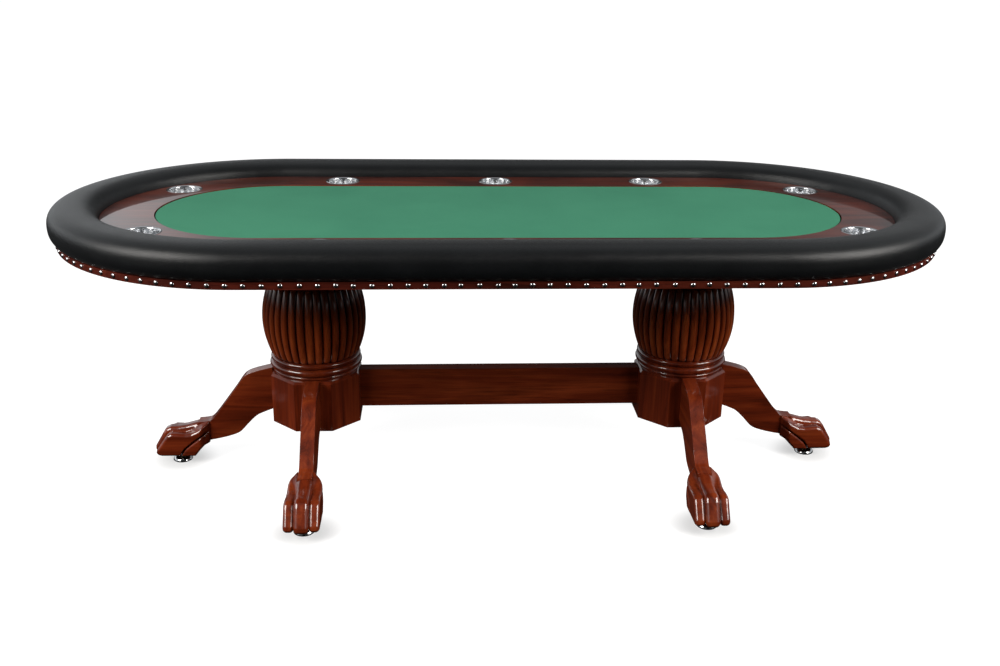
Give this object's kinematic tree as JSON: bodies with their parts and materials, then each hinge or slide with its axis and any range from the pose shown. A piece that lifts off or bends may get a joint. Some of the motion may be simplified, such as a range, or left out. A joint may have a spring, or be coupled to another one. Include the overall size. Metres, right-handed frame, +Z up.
{
  "type": "poker table",
  "caption": "Racetrack poker table with padded rail, wooden racetrack, lift-out cup holders, felt playing field and turned double pedestals on carved paw feet.",
  "frame": {"origin": "on the floor, under the centre of the table", "axes": "+X along the table's length, +Y across it, +Z up"},
  "size_m": [2.3876, 1.118, 0.7874],
  "materials": {
    "rail_leather": "black grained leatherette, soft sheen",
    "rail_foam": "upholstery foam",
    "plywood": "plain plywood",
    "skirt_wood": "dark red mahogany stain, satin lacquer",
    "nail_metal": "polished nickel",
    "track_wood": "mahogany stain, high gloss lacquer",
    "deck_wood": "plain board",
    "cloth": "green woven speed cloth",
    "field_foam": "thin underlay foam",
    "cup_steel": "polished stainless steel",
    "bolt_steel": "zinc plated",
    "leg_wood": "dark red mahogany stain, gloss lacquer",
    "turned_wood": "dark red mahogany stain, gloss lacquer",
    "block_wood": "dark red mahogany stain, gloss lacquer",
    "paw_wood": "carved mahogany, gloss lacquer",
    "insert_brass": "plain brass",
    "glide_nickel": "nickel plated"
  },
  "bodies": {
    "table": {"rail_cover": "rail_leather", "rail_foam": "rail_foam", "rail_frame": "plywood", "skirt_front": "skirt_wood", "skirt_rear": "skirt_wood", "skirt_left_end": "skirt_wood", "skirt_right_end": "skirt_wood", "skirt_nails": "nail_metal", "racetrack": "track_wood", "racetrack_riser": "plywood", "deck": "deck_wood", "playing_cloth": "cloth", "playing_foam": "field_foam", "playing_board": "plywood", "batten_front": "deck_wood", "batten_rear": "deck_wood", "rail_bolts": "bolt_steel", "deck_screws": "bolt_steel", "top_plate_left": "leg_wood", "top_plate_right": "leg_wood", "upper_collar_left": "turned_wood", "upper_collar_right": "turned_wood", "column_left": "turned_wood", "column_right": "turned_wood", "lower_collar_left": "turned_wood", "lower_collar_right": "turned_wood", "base_block_left": "block_wood", "base_block_right": "block_wood", "tie_rods": "bolt_steel", "leg_left_front": "leg_wood", "leg_left_rear": "leg_wood", "leg_left_outer": "leg_wood", "leg_right_front": "leg_wood", "leg_right_rear": "leg_wood", "leg_right_outer": "leg_wood", "paw_left_front": "paw_wood", "paw_left_rear": "paw_wood", "paw_left_outer": "paw_wood", "paw_right_front": "paw_wood", "paw_right_rear": "paw_wood", "paw_right_outer": "paw_wood", "frame_bolts": "bolt_steel", "stretcher": "leg_wood", "leveller_inserts": "insert_brass"},
    "cup_1": {"cup_holder_1": "cup_steel"},
    "cup_2": {"cup_holder_2": "cup_steel"},
    "cup_3": {"cup_holder_3": "cup_steel"},
    "cup_4": {"cup_holder_4": "cup_steel"},
    "cup_5": {"cup_holder_5": "cup_steel"},
    "cup_6": {"cup_holder_6": "cup_steel"},
    "cup_7": {"cup_holder_7": "cup_steel"},
    "cup_8": {"cup_holder_8": "cup_steel"},
    "cup_9": {"cup_holder_9": "cup_steel"},
    "cup_10": {"cup_holder_10": "cup_steel"},
    "foot_left_front": {"leveller_left_front": "glide_nickel"},
    "foot_left_rear": {"leveller_left_rear": "glide_nickel"},
    "foot_left_outer": {"leveller_left_outer": "glide_nickel"},
    "foot_right_front": {"leveller_right_front": "glide_nickel"},
    "foot_right_rear": {"leveller_right_rear": "glide_nickel"},
    "foot_right_outer": {"leveller_right_outer": "glide_nickel"}
  },
  "joints": [
    {"name": "cup_1_lift", "type": "slide", "parent": "table", "child": "cup_1", "axis": [0, 0, 1], "range_m": [0, 0.12]},
    {"name": "cup_2_lift", "type": "slide", "parent": "table", "child": "cup_2", "axis": [0, 0, 1], "range_m": [0, 0.12]},
    {"name": "cup_3_lift", "type": "slide", "parent": "table", "child": "cup_3", "axis": [0, 0, 1], "range_m": [0, 0.12]},
    {"name": "cup_4_lift", "type": "slide", "parent": "table", "child": "cup_4", "axis": [0, 0, 1], "range_m": [0, 0.12]},
    {"name": "cup_5_lift", "type": "slide", "parent": "table", "child": "cup_5", "axis": [0, 0, 1], "range_m": [0, 0.12]},
    {"name": "cup_6_lift", "type": "slide", "parent": "table", "child": "cup_6", "axis": [0, 0, 1], "range_m": [0, 0.12]},
    {"name": "cup_7_lift", "type": "slide", "parent": "table", "child": "cup_7", "axis": [0, 0, 1], "range_m": [0, 0.12]},
    {"name": "cup_8_lift", "type": "slide", "parent": "table", "child": "cup_8", "axis": [0, 0, 1], "range_m": [0, 0.12]},
    {"name": "cup_9_lift", "type": "slide", "parent": "table", "child": "cup_9", "axis": [0, 0, 1], "range_m": [0, 0.12]},
    {"name": "cup_10_lift", "type": "slide", "parent": "table", "child": "cup_10", "axis": [0, 0, 1], "range_m": [0, 0.12]},
    {"name": "foot_left_front_adjust", "type": "slide", "parent": "table", "child": "foot_left_front", "axis": [0, 0, -1], "range_m": [0, 0.012]},
    {"name": "foot_left_rear_adjust", "type": "slide", "parent": "table", "child": "foot_left_rear", "axis": [0, 0, -1], "range_m": [0, 0.012]},
    {"name": "foot_left_outer_adjust", "type": "slide", "parent": "table", "child": "foot_left_outer", "axis": [0, 0, -1], "range_m": [0, 0.012]},
    {"name": "foot_right_front_adjust", "type": "slide", "parent": "table", "child": "foot_right_front", "axis": [0, 0, -1], "range_m": [0, 0.012]},
    {"name": "foot_right_rear_adjust", "type": "slide", "parent": "table", "child": "foot_right_rear", "axis": [0, 0, -1], "range_m": [0, 0.012]},
    {"name": "foot_right_outer_adjust", "type": "slide", "parent": "table", "child": "foot_right_outer", "axis": [0, 0, -1], "range_m": [0, 0.012]}
  ]
}
